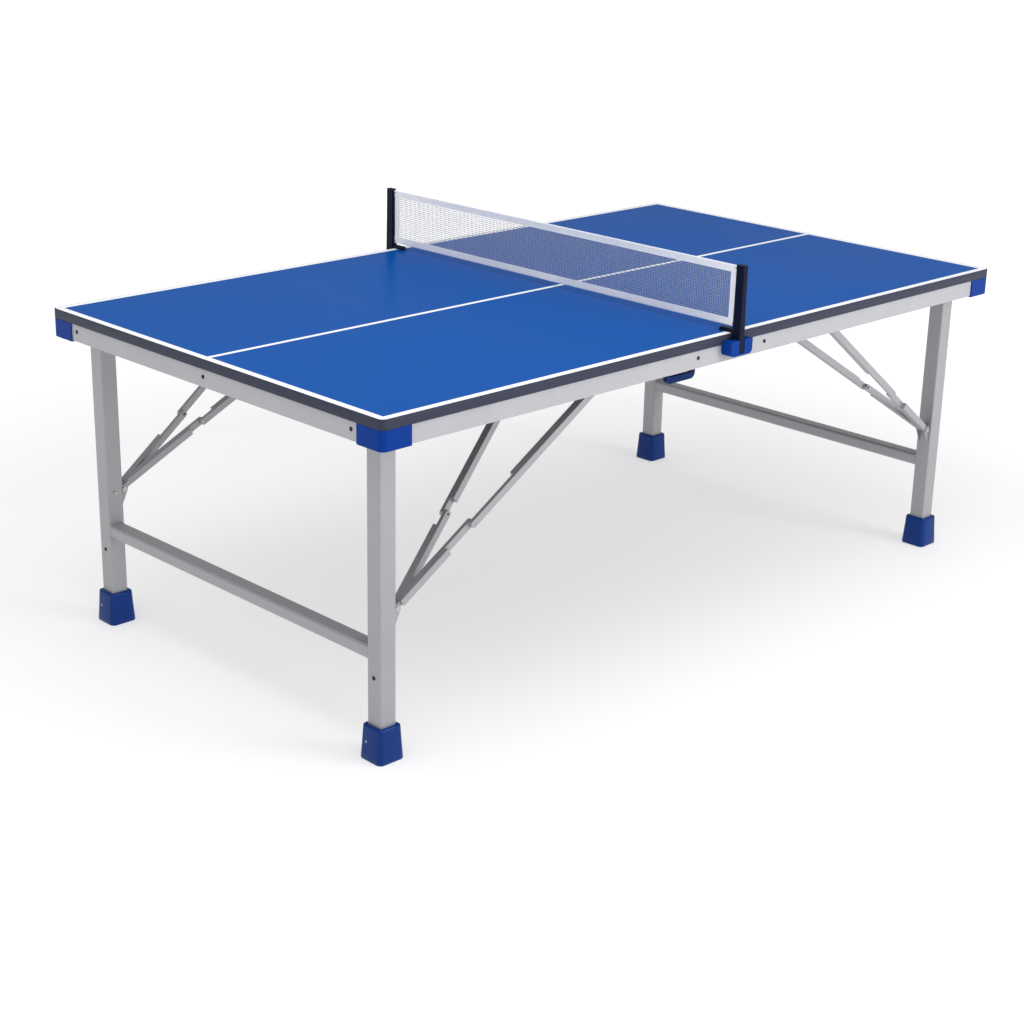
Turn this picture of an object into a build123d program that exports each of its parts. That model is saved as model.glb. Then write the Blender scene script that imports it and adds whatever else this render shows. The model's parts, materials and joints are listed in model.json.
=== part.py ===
from build123d import *
import os
from math import hypot

# Folding table-tennis table in the three-quarter size, in millimetres.
# Origin on the floor under the middle of the top, +X along the long side, +Z up.
# "front" is the -Y side, "back" the +Y side, "left" the -X end, "right" the +X end.

os.makedirs("parts", exist_ok=True)

# ---- driving dimensions -------------------------------------------------------
LENGTH = 2060.0
WIDTH = 1150.0
HEIGHT = 760.0

BOARD_T = 16.0
BAND_T = 3.0
BAND_H = 22.0
CORNER_R = 15.0
SEAM_GAP = 0.6

RAIL_T = 20.0
RAIL_BOTTOM = 698.0
RAIL_INSET = 3.5
RAIL_WALL = 1.5
CAP_REACH = 76.0
CAP_WALL = 3.2
CAP_LIP = 25.0
CAP_FLOOR = 3.0

LEG = 42.0
LEG_WALL = 2.0
LEG_R = 4.0
LEG_X = 957.0
LEG_Y = 487.0
LEG_BOTTOM = 8.0
LEG_TOP = 720.0
BOOT_H = 78.0
BOOT_BASE = 70.0
BOOT_NECK = 59.0

STRETCHER_Z = 234.0
STRETCHER_W = 38.0
STRETCHER_H = 32.0
STRETCHER_R = 8.0
TOP_TUBE = 25.0

FOLD_Z = 704.0
FOLD_PIN_R = 6.0
RUN = 0.05

PIVOT_OFF = 30.0
PIVOT_Z = 327.0
ARM_X = 360.0
ARM_Z = FOLD_Z + PIVOT_OFF
ARM_OUT_Y = 539.5
ARM_IN_Y = 305.0
ARM_OUT_START = 7.0
ARM_W = 18.0
ARM_H = 16.0
EYE_H = 12.0
ARM_WALL = 1.5
KNUCKLE_L = 22.0
KNUCKLE_W = 20.0
TONGUE_GAP = 0.3
OUTER_TONGUES = (78.0, 137.0)
INNER_TONGUES = (36.0, 36.0)
PIVOT_PIN_R = 4.0
KNEE_PIN_R = 3.0
KNEE_PIN_INSET = 0.6

POST_TOP = 915.0
POST_BOTTOM = 717.0
POST_DEPTH = 23.0
NET_HEIGHT = 152.5
TAPE_H = 17.0

# ---- derived places -----------------------------------------------------------
HALF_L = LENGTH / 2
HALF_W = WIDTH / 2
BOARD_Z = HEIGHT - BOARD_T
BAND_Z = HEIGHT - BAND_H
RAIL_X = HALF_L - RAIL_INSET
RAIL_Y = HALF_W - RAIL_INSET
RAIL_IN_Y = RAIL_Y - RAIL_T

# The folding brace at the front left leg, seen along Y. Its lower pivot sits on the
# leg, its upper pivot under the top, and the knee between them opens upward.
pivot_x = -LEG_X + PIVOT_OFF
drop = FOLD_Z - PIVOT_Z
folded_x = -LEG_X + drop
span = hypot(-ARM_X - pivot_x, ARM_Z - PIVOT_Z)
folded_span = -ARM_X - folded_x
fork_len = (span - folded_span) / 2
dir_x = (-ARM_X - pivot_x) / span
dir_z = (ARM_Z - PIVOT_Z) / span
knee_x = pivot_x + dir_x * fork_len
knee_z = PIVOT_Z + dir_z * fork_len

# Each arm's centre line across the table: its place where it leaves the knuckle, and
# how far it drifts per millimetre up the brace.
outer_line = (-LEG_Y - ARM_OUT_START, -(ARM_OUT_Y - LEG_Y - ARM_OUT_START) / (span - KNUCKLE_L))
inner_line = (-LEG_Y, (LEG_Y - ARM_IN_Y) / (span - KNUCKLE_L))


def write(shape, node):
    shape.label = node
    export_step(shape, "parts/" + node + ".step")


def block(x0, x1, y0, y1, z0, z1):
    """A plain box between two corners."""
    centre = Pos((x0 + x1) / 2, (y0 + y1) / 2, (z0 + z1) / 2)
    return centre * Box(x1 - x0, y1 - y0, z1 - z0)


def y_disc(x, z, r, y0, y1):
    """A cylinder whose axis is parallel to Y."""
    return Pos(x, (y0 + y1) / 2, z) * Rot(90, 0, 0) * Cylinder(r, y1 - y0)


def x_disc(y, z, r, x0, x1):
    """A cylinder whose axis is parallel to X."""
    return Pos((x0 + x1) / 2, y, z) * Rot(0, 90, 0) * Cylinder(r, x1 - x0)


def mirrored(shape, side_x, side_y):
    """The front left piece, moved to another corner by reflection."""
    if side_x > 0:
        shape = mirror(shape, about=Plane.YZ)
    if side_y > 0:
        shape = mirror(shape, about=Plane.XZ)
    return shape


ENDS = {"left": -1, "right": 1}
SIDES = {"front": -1, "back": 1}
CORNERS = {f + "_" + e: (sx, sy) for e, sx in ENDS.items() for f, sy in SIDES.items()}


def write_corners(shape, stem):
    for corner, (sx, sy) in CORNERS.items():
        write(mirrored(shape, sx, sy), stem + "_" + corner)


def all_corners(solids):
    return [mirrored(s, sx, sy) for sx, sy in CORNERS.values() for s in solids]


def end_pair(solids, side_x):
    return [mirrored(s, side_x, sy) for sy in SIDES.values() for s in solids]


# ---- playing top --------------------------------------------------------------
def outline(inset, r):
    return RectangleRounded(LENGTH - 2 * inset, WIDTH - 2 * inset, r)


def left_half():
    return block(-HALF_L - 1, -SEAM_GAP / 2, -HALF_W - 1, HALF_W + 1, 0, HEIGHT + 1)


def make_top():
    inner_r = CORNER_R - BAND_T
    board = extrude(outline(BAND_T, inner_r), amount=BOARD_T)
    board = (Pos(0, 0, BOARD_Z) * board) & left_half()
    band = extrude(outline(0, CORNER_R) - outline(BAND_T, inner_r), amount=BAND_H)
    band = (Pos(0, 0, BAND_Z) * band) & left_half()
    for end, sx in ENDS.items():
        write(mirrored(board, sx, -1), "board_" + end)
        write(mirrored(band, sx, -1), "edge_band_" + end)


# ---- apron frame under the top ------------------------------------------------
SCREW_R = 2.0
SCREW_HEAD_R = 4.5
SCREW_HEAD_T = 2.0
SCREW_Z = 721.0
SIDE_SCREW_X = 115.0
END_SCREW_Y = (-480.0, 0.0, 480.0)
SOCKET_SCREW_X = 24.0
SOCKET_FACE_Y = HALF_W + 25.0


def make_rails():
    x_end = RAIL_X - RAIL_T
    tube = block(-x_end, -0.5, -RAIL_Y, -RAIL_IN_Y, RAIL_BOTTOM, BOARD_Z)
    hollow = block(-x_end, -0.5, -RAIL_Y + RAIL_WALL, -RAIL_IN_Y - RAIL_WALL,
                   RAIL_BOTTOM + RAIL_WALL, BOARD_Z - RAIL_WALL)
    side = tube - hollow
    for x in (-SIDE_SCREW_X, -SOCKET_SCREW_X):
        side -= y_disc(x, SCREW_Z, SCREW_R, -RAIL_Y - 1, -RAIL_Y + RAIL_WALL + 1)
    write_corners(side, "side_rail")

    tube = block(-RAIL_X, -x_end, -RAIL_Y, RAIL_Y, RAIL_BOTTOM, BOARD_Z)
    hollow = block(-RAIL_X + RAIL_WALL, -x_end - RAIL_WALL, -RAIL_Y, RAIL_Y,
                   RAIL_BOTTOM + RAIL_WALL, BOARD_Z - RAIL_WALL)
    frame_outline = extrude(outline(RAIL_INSET, CORNER_R - RAIL_INSET), amount=HEIGHT)
    end = (tube - hollow) & frame_outline
    for y in END_SCREW_Y:
        end -= x_disc(y, SCREW_Z, SCREW_R, -RAIL_X - 1, -RAIL_X + RAIL_WALL + 1)
    for name, sx in ENDS.items():
        write(mirrored(end, sx, -1), "end_rail_" + name)


def make_corner_caps():
    corner = block(-HALF_L - 1, -HALF_L + CAP_REACH, -HALF_W - 1, -HALF_W + CAP_REACH,
                   0, HEIGHT)
    wall = extrude(outline(0, CORNER_R) - outline(CAP_WALL, CORNER_R - CAP_WALL),
                   amount=BAND_Z - RAIL_BOTTOM + CAP_FLOOR)
    lip = extrude(outline(0, CORNER_R) - outline(CAP_LIP, 1.0), amount=CAP_FLOOR)
    cap = (Pos(0, 0, RAIL_BOTTOM - CAP_FLOOR) * (wall + lip)) & corner
    write_corners(cap, "corner_cap")


CENTRE_BEAM = (20.0, 40.0, 40.0)
BRACE_BEAM = (ARM_X - 26.0, ARM_X - 10.0, 14.0)


def make_beams():
    """Cross members between the side rails: two at the seam, two for the braces."""
    y = RAIL_IN_Y
    for stem, (x0, x1, h) in {"centre_beam": CENTRE_BEAM, "brace_beam": BRACE_BEAM}.items():
        tube = block(-x1, -x0, -y, y, BOARD_Z - h, BOARD_Z)
        hollow = block(-x1 + RAIL_WALL, -x0 - RAIL_WALL, -y, y,
                       BOARD_Z - h + RAIL_WALL, BOARD_Z - RAIL_WALL)
        for name, sx in ENDS.items():
            write(mirrored(tube - hollow, sx, -1), stem + "_" + name)


def make_frame_screws():
    """Pan-head screws: shank in the tube wall, head on its outer face."""
    screws = []
    for sx in ENDS.values():
        for sy in SIDES.values():
            shank = y_disc(-SIDE_SCREW_X, SCREW_Z, SCREW_R, -RAIL_Y, -RAIL_Y + RAIL_WALL)
            head = y_disc(-SIDE_SCREW_X, SCREW_Z, SCREW_HEAD_R, -RAIL_Y - SCREW_HEAD_T, -RAIL_Y)
            screws.append(mirrored(shank + head, sx, sy))
        for y in END_SCREW_Y:
            shank = x_disc(y, SCREW_Z, SCREW_R, -RAIL_X, -RAIL_X + RAIL_WALL)
            head = x_disc(y, SCREW_Z, SCREW_HEAD_R, -RAIL_X - SCREW_HEAD_T, -RAIL_X)
            screws.append(mirrored(shank + head, sx, -1))
    write(Compound(screws), "frame_screws")


# ---- leg hinges ---------------------------------------------------------------
HINGE_PLATE = 3.0
HINGE_HALF = 24.0
HINGE_LUG_R = 15.0
PIN_HEAD_R = 10.0
PIN_HEAD_T = 5.0


def make_leg_hinges():
    """A channel bracket on each side rail carries the pin on which a leg turns."""
    leg_face = -LEG_Y - LEG / 2
    lug0 = leg_face - 1.0 - HINGE_PLATE
    lug1 = leg_face - 1.0
    x0 = -LEG_X - HINGE_HALF
    x1 = -LEG_X + HINGE_HALF
    rail_plate = block(x0, x1, -RAIL_IN_Y, -RAIL_IN_Y + HINGE_PLATE, RAIL_BOTTOM + 2, BOARD_Z)
    web = block(x0, x1, -RAIL_IN_Y, lug1, BOARD_Z - HINGE_PLATE, BOARD_Z)
    lug = block(x0, x1, lug0, lug1, FOLD_Z + 6, BOARD_Z)
    taper = Polyline((x0, FOLD_Z + 6), (-LEG_X - HINGE_LUG_R, FOLD_Z), (-LEG_X + HINGE_LUG_R, FOLD_Z),
                     (x1, FOLD_Z + 6), close=True)
    flare = extrude(Plane.XZ * make_face(taper), amount=HINGE_PLATE)
    flare = Pos(0, lug1, 0) * flare
    nose = y_disc(-LEG_X, FOLD_Z, HINGE_LUG_R, lug0, lug1)
    bracket = rail_plate + web + lug + flare + nose
    bracket -= y_disc(-LEG_X, FOLD_Z, FOLD_PIN_R, lug0 - 1, lug1 + 1)
    write(Compound(all_corners([bracket])), "leg_hinge_brackets")

    shaft = y_disc(-LEG_X, FOLD_Z, FOLD_PIN_R, lug0, -LEG_Y + LEG / 2)
    hexagon = extrude(Plane.XZ * RegularPolygon(PIN_HEAD_R, 6), amount=PIN_HEAD_T)
    head = Pos(-LEG_X, lug0, FOLD_Z) * hexagon
    write(Compound(all_corners([shaft + head])), "leg_hinge_pins")


# ---- leg frames ---------------------------------------------------------------
BRACE_CHEEK = 2.5
BRACE_GAP = KNUCKLE_W / 2 + 1.0
BRACE_BASE_T = 2.0
PIVOT_EYE_R = 10.0
BRACKET_BELOW = 42.0
BRACKET_ABOVE = 12.0


def make_legs():
    post = extrude(RectangleRounded(LEG, LEG, LEG_R), amount=LEG_TOP - LEG_BOTTOM)
    bore = LEG - 2 * LEG_WALL
    post -= extrude(RectangleRounded(bore, bore, LEG_R - LEG_WALL), amount=LEG_TOP - LEG_BOTTOM)
    leg = Pos(-LEG_X, -LEG_Y, LEG_BOTTOM) * post
    leg -= y_disc(-LEG_X, FOLD_Z, FOLD_PIN_R + RUN, -LEG_Y - LEG, -LEG_Y + LEG)
    write_corners(leg, "leg")

    base = RectangleRounded(BOOT_BASE, BOOT_BASE, 13.0)
    neck = Pos(0, 0, BOOT_H) * RectangleRounded(BOOT_NECK, BOOT_NECK, 9.0)
    boot = loft([base, neck])
    boot -= Pos(0, 0, LEG_BOTTOM) * extrude(RectangleRounded(LEG, LEG, LEG_R), amount=BOOT_H)
    write_corners(Pos(-LEG_X, -LEG_Y, 0) * boot, "boot")

    inner_y = LEG_Y - LEG / 2
    section = RectangleRounded(STRETCHER_W, STRETCHER_H, STRETCHER_R)
    section -= RectangleRounded(STRETCHER_W - 3.6, STRETCHER_H - 3.6, STRETCHER_R - 1.8)
    stretcher = extrude(Plane.XZ * section, amount=2 * inner_y)
    stretcher = Pos(-LEG_X, inner_y, STRETCHER_Z) * stretcher
    tube = RectangleRounded(TOP_TUBE, TOP_TUBE, 3.0)
    tube -= RectangleRounded(TOP_TUBE - 3, TOP_TUBE - 3, 1.5)
    top_tube = Pos(-LEG_X, inner_y, FOLD_Z) * extrude(Plane.XZ * tube, amount=2 * inner_y)
    for name, sx in ENDS.items():
        write(mirrored(stretcher, sx, -1), "stretcher_" + name)
        write(mirrored(top_tube, sx, -1), "top_tube_" + name)


def make_leg_brackets():
    """A clevis on the centre-facing side of each leg holds the brace's lower pivot."""
    face_x = -LEG_X + LEG / 2
    low = PIVOT_Z - BRACKET_BELOW
    high = PIVOT_Z + BRACKET_ABOVE
    reach = BRACE_GAP + BRACE_CHEEK
    bracket = block(face_x, face_x + BRACE_BASE_T, -LEG_Y - reach, -LEG_Y + reach, low, high)
    for sy in (-1, 1):
        y0, y1 = sorted((-LEG_Y + sy * BRACE_GAP, -LEG_Y + sy * reach))
        side = Polyline((face_x, low), (face_x, high), (pivot_x + 4, PIVOT_Z + PIVOT_EYE_R - 1),
                        (pivot_x + PIVOT_EYE_R - 1, PIVOT_Z - 4), close=True)
        bracket += Pos(0, y1, 0) * extrude(Plane.XZ * make_face(side), amount=y1 - y0)
        bracket += y_disc(pivot_x, PIVOT_Z, PIVOT_EYE_R, y0, y1)
    bracket &= block(face_x, 0, -HALF_W, 0, 0, HEIGHT)
    bracket -= y_disc(pivot_x, PIVOT_Z, PIVOT_PIN_R, -LEG_Y - reach - 1, -LEG_Y + reach + 1)
    shaft = y_disc(pivot_x, PIVOT_Z, PIVOT_PIN_R, -LEG_Y - reach, -LEG_Y + reach)
    for sy in (-1, 1):
        y0, y1 = sorted((-LEG_Y + sy * reach, -LEG_Y + sy * (reach + 3.0)))
        shaft += y_disc(pivot_x, PIVOT_Z, 7.0, y0, y1)
    for name, sx in ENDS.items():
        write(Compound(end_pair([bracket], sx)), "brace_brackets_" + name)
        write(Compound(end_pair([shaft], sx)), "brace_pins_" + name)


# ---- folding braces -----------------------------------------------------------
EYE_HALF = 6.0
EYE_STRAIGHT = 13.0


def line_y(s, line):
    """Centre of one arm, s millimetres up the brace from its lower pivot."""
    start, slope = line
    return start + slope * (s - KNUCKLE_L)


def strut(s0, s1, line, y_low, y_high, h=ARM_H):
    """A bar along the brace between s0 and s1, between two offsets across it."""
    start = (pivot_x + dir_x * s0, line_y(s0, line) + (y_low + y_high) / 2,
             PIVOT_Z + dir_z * s0)
    plane = Plane(origin=start, x_dir=(0, 1, 0), z_dir=(dir_x, 0, dir_z))
    length = (s1 - s0) * hypot(1, line[1])
    return extrude(plane * Rectangle(y_high - y_low, h), amount=length,
                   dir=(dir_x, line[1], dir_z))


def tube_strut(s0, s1, line):
    half = ARM_W / 2
    outer = strut(s0, s1, line, -half, half)
    inner = strut(s0 + 3, s1 - 3, line, -half + ARM_WALL, half - ARM_WALL,
                  ARM_H - 2 * ARM_WALL)
    return outer - inner


def knee_tongue(s0, s1, line, side):
    """The halved end of an arm at the knee, on one side of the arm's centre line."""
    lo, hi = sorted((side * TONGUE_GAP, side * ARM_W / 2))
    tongue = strut(s0, s1, line, lo, hi)
    y = line_y(fork_len, line)
    tongue += y_disc(knee_x, knee_z, ARM_H / 2, y + lo, y + hi)
    return tongue - y_disc(knee_x, knee_z, KNEE_PIN_R, y + lo - 1, y + hi + 1)


def make_fork():
    """The lower part of a brace: a knuckle on the leg and two diverging stubs."""
    half = KNUCKLE_W / 2
    axis = (-LEG_Y, 0)
    fork = strut(0, KNUCKLE_L, axis, -half, half, EYE_H)
    fork += y_disc(pivot_x, PIVOT_Z, EYE_H / 2, -LEG_Y - half, -LEG_Y + half)
    for line, tongues, side in ((outer_line, OUTER_TONGUES, 1), (inner_line, INNER_TONGUES, -1)):
        full_end = fork_len - tongues[0]
        fork += tube_strut(KNUCKLE_L - 6, full_end, line)
        fork += knee_tongue(full_end - 3, fork_len, line, side)
    fork -= y_disc(pivot_x, PIVOT_Z, PIVOT_PIN_R + RUN, -LEG_Y - 20, -LEG_Y + 20)
    return fork


def make_arm(line, tongue_len, side):
    """One upper arm, from its halved end at the knee to its eye under the top."""
    arm_start = fork_len + tongue_len
    eye_start = span - EYE_STRAIGHT
    end_y = line_y(span, line)
    arm = tube_strut(arm_start, eye_start, line)
    arm += knee_tongue(fork_len, arm_start + 3, line, side)
    arm += strut(eye_start - 1, span, (end_y, 0), -EYE_HALF, EYE_HALF, EYE_H)
    arm += y_disc(-ARM_X, ARM_Z, EYE_H / 2, end_y - EYE_HALF, end_y + EYE_HALF)
    return arm - y_disc(-ARM_X, ARM_Z, PIVOT_PIN_R + RUN, end_y - 20, end_y + 20)


def make_knee_pin(line, side):
    """The pin through the arm's half of the knee, its end a little inside the face."""
    knee_y = line_y(fork_len, line)
    inner_face = knee_y + side * TONGUE_GAP
    outer_face = knee_y + side * (ARM_W / 2 - KNEE_PIN_INSET)
    return y_disc(knee_x, knee_z, KNEE_PIN_R, *sorted((inner_face, outer_face)))


def make_braces():
    arms = [make_arm(outer_line, OUTER_TONGUES[1], -1), make_arm(inner_line, INNER_TONGUES[1], 1)]
    pins = [make_knee_pin(outer_line, -1), make_knee_pin(inner_line, 1)]
    write_corners(make_fork(), "brace_fork")
    write_corners(Compound(arms), "brace_arms")
    for name, sx in ENDS.items():
        write(Compound(end_pair(pins, sx)), "knee_pins_" + name)


def make_arm_hinges():
    """Clevis brackets on the brace beams and the pins of the arms' upper ends."""
    face_x = -BRACE_BEAM[1]
    brackets = []
    pins = []
    for y in (-ARM_OUT_Y, -ARM_IN_Y):
        bracket = block(face_x - 2, face_x, y - 8.9, y + 8.9, BOARD_Z - BRACE_BEAM[2], BOARD_Z)
        for y0 in (y - 8.9, y + 6.4):
            cheek = block(-ARM_X, face_x, y0, y0 + 2.5, ARM_Z - 4, BOARD_Z)
            cheek += y_disc(-ARM_X, ARM_Z, 9.0, y0, y0 + 2.5)
            bracket += cheek
        bracket -= y_disc(-ARM_X, ARM_Z, PIVOT_PIN_R, y - 10, y + 10)
        pin = y_disc(-ARM_X, ARM_Z, PIVOT_PIN_R, y - 8.9, y + 8.9)
        for y0 in (y - 11.4, y + 8.9):
            pin += y_disc(-ARM_X, ARM_Z, 6.5, y0, y0 + 2.5)
        brackets.append(bracket)
        pins.append(pin)
    write(Compound(all_corners(brackets)), "arm_hinge_brackets")
    write(Compound(all_corners(pins)), "arm_hinge_pins")


# ---- net set ------------------------------------------------------------------
SOCKET_HALF = 37.0
SOCKET_BOTTOM = 713.0
SOCKET_TOP = 748.0
SLOT_GAP = 0.3
POST_HALF = 7.0
POST_HALF_LOW = 9.0
POST_OUT_Y = SOCKET_FACE_Y - 1.0
POST_IN_Y = POST_OUT_Y - POST_DEPTH
NET_END_Y = POST_IN_Y - 2.0
NET_BOTTOM_Z = HEIGHT + 14.0
NET_TOP_Z = HEIGHT + NET_HEIGHT


def make_sockets():
    """A moulded bracket over each rail joint, with a slot that takes the post."""
    body = Polyline((-SOCKET_HALF, SOCKET_TOP), (-SOCKET_HALF, SOCKET_BOTTOM),
                    (SOCKET_HALF, SOCKET_BOTTOM), (SOCKET_HALF, SOCKET_TOP), close=True)
    face = fillet(make_face(body).vertices().sort_by(Axis.Y)[:2], 11.0)
    depth = SOCKET_FACE_Y - RAIL_Y
    socket = Pos(0, -RAIL_Y, 0) * extrude(Plane.XZ * face, amount=depth)
    socket -= block(-HALF_L, HALF_L, -HALF_W - SLOT_GAP, 0, BAND_Z - SLOT_GAP, HEIGHT)
    slot = POST_HALF_LOW + SLOT_GAP
    socket -= block(-slot, slot, -SOCKET_FACE_Y - 1, -POST_IN_Y + SLOT_GAP, POST_BOTTOM, HEIGHT)
    for x in (-SOCKET_SCREW_X, SOCKET_SCREW_X):
        socket -= y_disc(x, SCREW_Z, SCREW_R + 0.3, -SOCKET_FACE_Y - 1, 0)
    for name, sy in SIDES.items():
        write(mirrored(socket, -1, sy), "post_socket_" + name)


def make_net_posts():
    """Tapered posts with a foot that lies on the playing surface."""
    low = Pos(0, 0, POST_BOTTOM) * Rectangle(2 * POST_HALF_LOW, POST_DEPTH)
    high = Pos(0, 0, POST_TOP) * RectangleRounded(2 * POST_HALF, POST_DEPTH, 2.0)
    middle = -(POST_OUT_Y + POST_IN_Y) / 2
    shaft = Pos(0, middle, 0) * loft([low, high])
    foot = block(-6, 6, -POST_IN_Y - 1, -POST_IN_Y + 40, HEIGHT + SLOT_GAP, HEIGHT + 9)
    foot = chamfer(foot.edges().group_by(Axis.Y)[-1].sort_by(Axis.Z)[-1:], 5.0)
    post = shaft + foot
    for name, sy in SIDES.items():
        write(mirrored(post, -1, sy), "net_post_" + name)


def make_net():
    """Plain solids for the netting and its sewn tapes, stretched between the posts."""
    side = TAPE_H
    low = NET_BOTTOM_Z
    high = NET_TOP_Z
    end = NET_END_Y
    mesh = block(-1, 1, -end + side, end - side, low + TAPE_H, high - TAPE_H)
    top = block(-2, 2, -end, end, high - TAPE_H, high)
    binding = block(-1.5, 1.5, -end, end, low, high - TAPE_H)
    binding -= block(-2, 2, -end + side, end - side, low + TAPE_H, high)
    write(mesh, "net_mesh")
    write(top, "net_top_tape")
    write(binding, "net_binding")
    hook = y_disc(0, high - 6, 1.5, -POST_IN_Y, -end)
    lower = y_disc(0, low + 6, 1.5, -POST_IN_Y, -end)
    hooks = [mirrored(h, -1, sy) for sy in SIDES.values() for h in (hook, lower)]
    write(Compound(hooks), "net_hooks")


# ---- carrying handle ----------------------------------------------------------
HANDLE_X = (-190.0, -95.0)
HANDLE_EAR = 9.0
HANDLE_T = 11.0
HANDLE_Y = -RAIL_IN_Y + 9.0
HANDLE_PIVOT_Z = 713.0
HANDLE_LOW = 668.0
HANDLE_BAR = 15.0
HANDLE_PIN_R = 3.0


def make_handle():
    """A grip that hangs from a plate on the front rail and swings inward."""
    x0, x1 = HANDLE_X
    grip = Polyline((x0, HANDLE_PIVOT_Z), (x0, HANDLE_LOW), (x1, HANDLE_LOW),
                    (x1, HANDLE_PIVOT_Z), close=True)
    face = fillet(make_face(grip).vertices().sort_by(Axis.Y)[:2], 14.0)
    gap = Polyline((x0 + HANDLE_EAR, HANDLE_PIVOT_Z + 1), (x0 + HANDLE_EAR, HANDLE_LOW + HANDLE_BAR),
                   (x1 - HANDLE_EAR, HANDLE_LOW + HANDLE_BAR), (x1 - HANDLE_EAR, HANDLE_PIVOT_Z + 1),
                   close=True)
    inner = fillet(make_face(gap).vertices().sort_by(Axis.Y)[:2], 8.0)
    handle = extrude(Plane.XZ * (face - inner), amount=HANDLE_T)
    handle = Pos(0, HANDLE_Y + HANDLE_T / 2, 0) * handle
    for x in (x0, x1 - HANDLE_EAR):
        handle += x_disc(HANDLE_Y, HANDLE_PIVOT_Z, HANDLE_T / 2, x, x + HANDLE_EAR)
    handle -= x_disc(HANDLE_Y, HANDLE_PIVOT_Z, HANDLE_PIN_R + RUN, x0 - 1, x1 + 1)
    write(handle, "carry_handle")

    mount = block(x0 - 4, x1 + 4, -RAIL_IN_Y, -RAIL_IN_Y + 2.5, RAIL_BOTTOM + 2, BOARD_Z - 6)
    for x in (x0 - 4, x1 + 0.5):
        mount += block(x, x + 3.5, -RAIL_IN_Y, HANDLE_Y, HANDLE_PIVOT_Z - 6, HANDLE_PIVOT_Z + 6)
        mount += x_disc(HANDLE_Y, HANDLE_PIVOT_Z, 6.0, x, x + 3.5)
    mount += x_disc(HANDLE_Y, HANDLE_PIVOT_Z, HANDLE_PIN_R, x0 - 4, x0 + HANDLE_EAR)
    mount += x_disc(HANDLE_Y, HANDLE_PIVOT_Z, HANDLE_PIN_R, x1 - HANDLE_EAR, x1 + 4)
    write(mount, "handle_mount")


make_top()
make_rails()
make_corner_caps()
make_beams()
make_frame_screws()
make_leg_hinges()
make_legs()
make_leg_brackets()
make_braces()
make_arm_hinges()
make_sockets()
make_net_posts()
make_net()
make_handle()
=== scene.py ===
import json
import math

import bmesh
import bpy
from mathutils import Matrix, Vector

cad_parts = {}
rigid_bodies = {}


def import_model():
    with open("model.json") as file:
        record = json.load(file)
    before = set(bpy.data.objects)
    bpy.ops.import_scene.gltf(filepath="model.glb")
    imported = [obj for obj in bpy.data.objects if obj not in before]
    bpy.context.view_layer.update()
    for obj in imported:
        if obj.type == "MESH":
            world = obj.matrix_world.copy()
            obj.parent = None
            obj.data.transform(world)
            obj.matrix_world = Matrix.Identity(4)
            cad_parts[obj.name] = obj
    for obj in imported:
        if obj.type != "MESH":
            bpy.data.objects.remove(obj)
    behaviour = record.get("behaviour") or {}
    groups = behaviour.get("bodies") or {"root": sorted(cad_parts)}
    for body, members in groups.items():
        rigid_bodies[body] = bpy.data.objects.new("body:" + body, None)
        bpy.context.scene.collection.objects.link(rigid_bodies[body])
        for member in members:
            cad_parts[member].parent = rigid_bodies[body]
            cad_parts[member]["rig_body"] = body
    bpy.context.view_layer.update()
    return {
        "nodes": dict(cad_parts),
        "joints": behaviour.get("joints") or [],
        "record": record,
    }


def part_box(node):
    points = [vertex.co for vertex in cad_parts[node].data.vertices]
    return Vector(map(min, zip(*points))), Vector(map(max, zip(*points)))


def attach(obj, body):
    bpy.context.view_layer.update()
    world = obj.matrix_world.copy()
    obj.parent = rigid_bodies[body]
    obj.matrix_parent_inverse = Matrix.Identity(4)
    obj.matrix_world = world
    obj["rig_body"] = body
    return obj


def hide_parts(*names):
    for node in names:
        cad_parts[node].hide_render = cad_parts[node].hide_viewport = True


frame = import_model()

bl_info = {
    "name": "Folding Table Tennis Table",
    "version": (1, 0, 0),
    "blender": (4, 5, 0),
    "location": "3D View > Sidebar > Table Tennis",
    "description": "Builds the finished pieces of a folding table tennis table on its frame",
    "category": "Add Mesh",
}

# Metres throughout. +X runs along the table, +Y across it, +Z up from the floor.
NODES = frame["nodes"]
SLOT_OF = {part["node"]: part["material_slot"] for part in frame["record"]["subparts"]}
ENDS = {"left": -1, "right": 1}
SIDES = {"front": -1, "back": 1}
CORNERS = {f + "_" + e: (sx, sy) for e, sx in ENDS.items() for f, sy in SIDES.items()}
MM = 0.001


def spread(*nodes):
    """Lowest and highest corners that these CAD nodes reach together."""
    boxes = [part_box(n) for n in nodes]
    low = Vector(min(b[0][i] for b in boxes) for i in range(3))
    high = Vector(max(b[1][i] for b in boxes) for i in range(3))
    return low, high


TOP_LOW, TOP_HIGH = spread("edge_band_left", "edge_band_right")
HALF_L = TOP_HIGH.x
HALF_W = TOP_HIGH.y
TOP_Z = TOP_HIGH.z
CORNER_R = 15 * MM
NET_HALF = 0.55 * MM  # half the thickness of the net between the two faces of a tape


# ---- colours and shader nodes
def srgb(code):
    """A hex colour such as "#1E5AAA" as linear red, green and blue."""
    parts = [int(code[i:i + 2], 16) / 255 for i in (1, 3, 5)]
    return [c / 12.92 if c <= 0.04045 else ((c + 0.055) / 1.055) ** 2.4 for c in parts]


def feed(tree, node, inputs):
    """Each input is given a value, the socket that feeds it, or the node whose first
    output does."""
    for name, value in inputs.items():
        if isinstance(value, bpy.types.Node):
            value = value.outputs[0]
        if isinstance(value, bpy.types.NodeSocket):
            tree.links.new(value, node.inputs[name])
        else:
            node.inputs[name].default_value = value


def add(tree, kind, inputs=None, **settings):
    """Adds a node with its settings and inputs."""
    made = tree.nodes.new(kind)
    for name, value in settings.items():
        setattr(made, name, value)
    feed(tree, made, inputs or {})
    return made


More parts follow.
